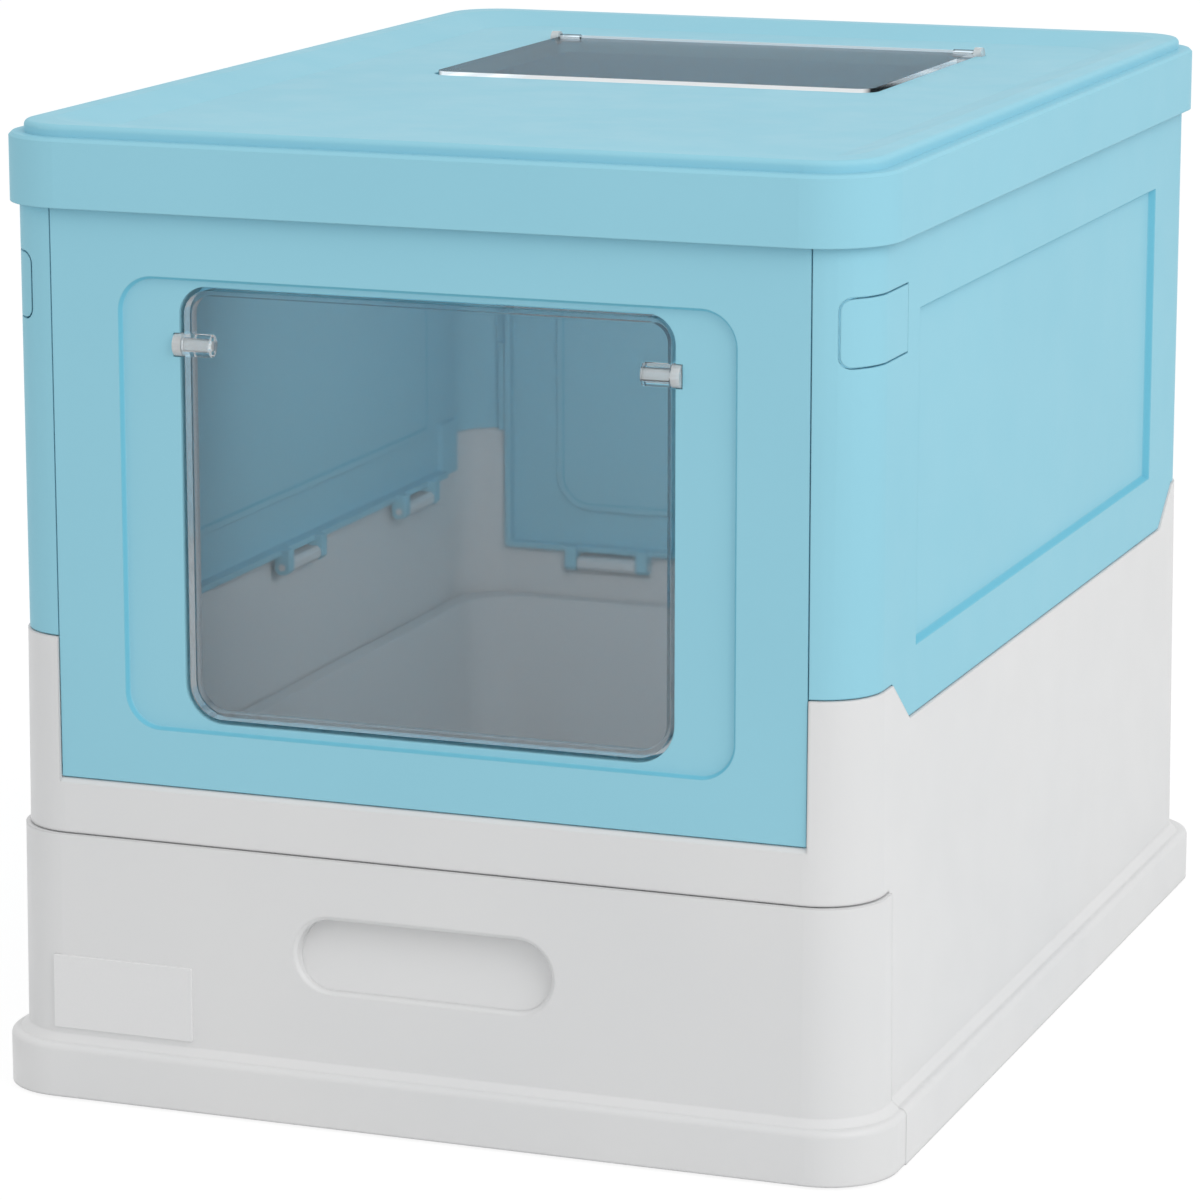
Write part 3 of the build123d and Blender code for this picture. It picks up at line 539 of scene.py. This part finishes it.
def bare_plate():
    """Bare plate stuck on the drawer's front, low at its left."""
    mesh = bmesh.new()
    bmesh.ops.create_cube(mesh, size=1.0)
    width, height = PLATE_SIZE
    bmesh.ops.scale(mesh, vec=(width, PLATE_THICKNESS, height), verts=mesh.verts)
    corners = [edge for edge in mesh.edges if edge.verts[0].co.y * edge.verts[1].co.y < 0]
    round_edges(mesh, corners, PLATE_CORNER, PLATE_CORNER_STEPS)
    front = [edge for edge in mesh.edges if all(vert.co.y < 0 for vert in edge.verts)]
    round_edges(mesh, front, PLATE_RIM, PLATE_RIM_STEPS)
    bmesh.ops.rotate(mesh, cent=(0, 0, 0), matrix=Matrix.Rotation(-DRAWER_LEAN, 3, "X"), verts=mesh.verts)
    across, up = PLATE_CENTRE
    bmesh.ops.translate(mesh, vec=(across, drawer_face(up) - PLATE_THICKNESS / 2, up), verts=mesh.verts)
    data = bpy.data.meshes.new("bare_plate")
    mesh.to_mesh(data)
    mesh.free()
    data.materials.append(card_finish().material)
    plate = bpy.data.objects.new("bare_plate", data)
    scene.collection.objects.link(plate)
    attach(plate, "drawer")


def seen_rays(tree):
    """One where the camera sees a place, straight, in a reflection or through a clear sheet."""
    light_path = tree.nodes.new("ShaderNodeLightPath")
    seen = light_path.outputs["Is Camera Ray"]
    for ray in ("Is Glossy Ray", "Is Transmission Ray"):
        seen = math_node(tree, "MAXIMUM", seen, light_path.outputs[ray])
    return seen


def floor_material():
    """White that keeps a faint shadow where it is seen."""
    material = bpy.data.materials.new("studio_floor")
    material.use_nodes = True
    tree = material.node_tree
    shader = tree.nodes["Principled BSDF"]
    shader.inputs["Base Color"].default_value = FLOOR_COLOUR
    shader.inputs["Roughness"].default_value = FLOOR_ROUGHNESS
    shader.inputs["Specular IOR Level"].default_value = 0.0
    glow = tree.nodes.new("ShaderNodeEmission")
    glow.inputs["Strength"].default_value = FLOOR_GLOW
    mix = tree.nodes.new("ShaderNodeMixShader")
    tree.links.new(math_node(tree, "MULTIPLY", seen_rays(tree), FLOOR_GLOW_SHARE), mix.inputs["Fac"])
    tree.links.new(shader.outputs["BSDF"], mix.inputs[1])
    tree.links.new(glow.outputs["Emission"], mix.inputs[2])
    tree.links.new(mix.outputs["Shader"], tree.nodes["Material Output"].inputs["Surface"])
    return material


def studio_floor():
    """White floor under the box."""
    mesh = bmesh.new()
    bmesh.ops.create_grid(mesh, x_segments=1, y_segments=1, size=FLOOR_HALF)
    data = bpy.data.meshes.new("studio_floor")
    mesh.to_mesh(data)
    mesh.free()
    data.materials.append(floor_material())
    floor = bpy.data.objects.new("studio_floor", data)
    floor.location.z = -FLOOR_DROP
    scene.collection.objects.link(floor)


def studio_world():
    """Even white surroundings, plain white where they are seen."""
    world = bpy.data.worlds.new("studio")
    scene.world = world
    world.use_nodes = True
    tree = world.node_tree
    background = tree.nodes["Background"]
    background.inputs["Color"].default_value = WORLD_COLOUR
    strength = map_range(tree, seen_rays(tree), (0.0, 1.0), (WORLD_LIGHT, WORLD_SEEN))
    tree.links.new(strength, background.inputs["Strength"])


def set_up(thing, place, target):
    """A lamp or the camera put at a place and turned to a point."""
    thing.location = place
    thing.rotation_euler = (Vector(target) - Vector(place)).to_track_quat("-Z", "Y").to_euler()
    scene.collection.objects.link(thing)


def area_light(name, place, target, size, power):
    """Soft square lamp aimed at a point."""
    lamp = bpy.data.lights.new(name, "AREA")
    lamp.size = size
    lamp.energy = power
    holder = bpy.data.objects.new(name, lamp)
    set_up(holder, place, target)
    return holder


def cabin_fill():
    """Weak lamp under the lid, never seen itself, for the light that the thin walls let through."""
    lamp = area_light("cabin_fill", **FILL_LAMP)
    lamp.data.spread = FILL_SPREAD
    lamp.visible_camera = False
    lamp.visible_glossy = False
    lamp.visible_transmission = False


def studio_camera():
    """Camera at the photograph's angle."""
    data = bpy.data.cameras.new("camera")
    data.sensor_fit = "HORIZONTAL"
    data.sensor_width = CAMERA_SENSOR
    data.lens = CAMERA_LENS
    data.clip_end = CAMERA_REACH
    camera = bpy.data.objects.new("camera", data)
    set_up(camera, CAMERA_PLACE, CAMERA_TARGET)
    scene.camera = camera


dress_solids()
bare_plate()
studio_floor()
studio_world()
area_light("key", **KEY_LAMP)
cabin_fill()
studio_camera()
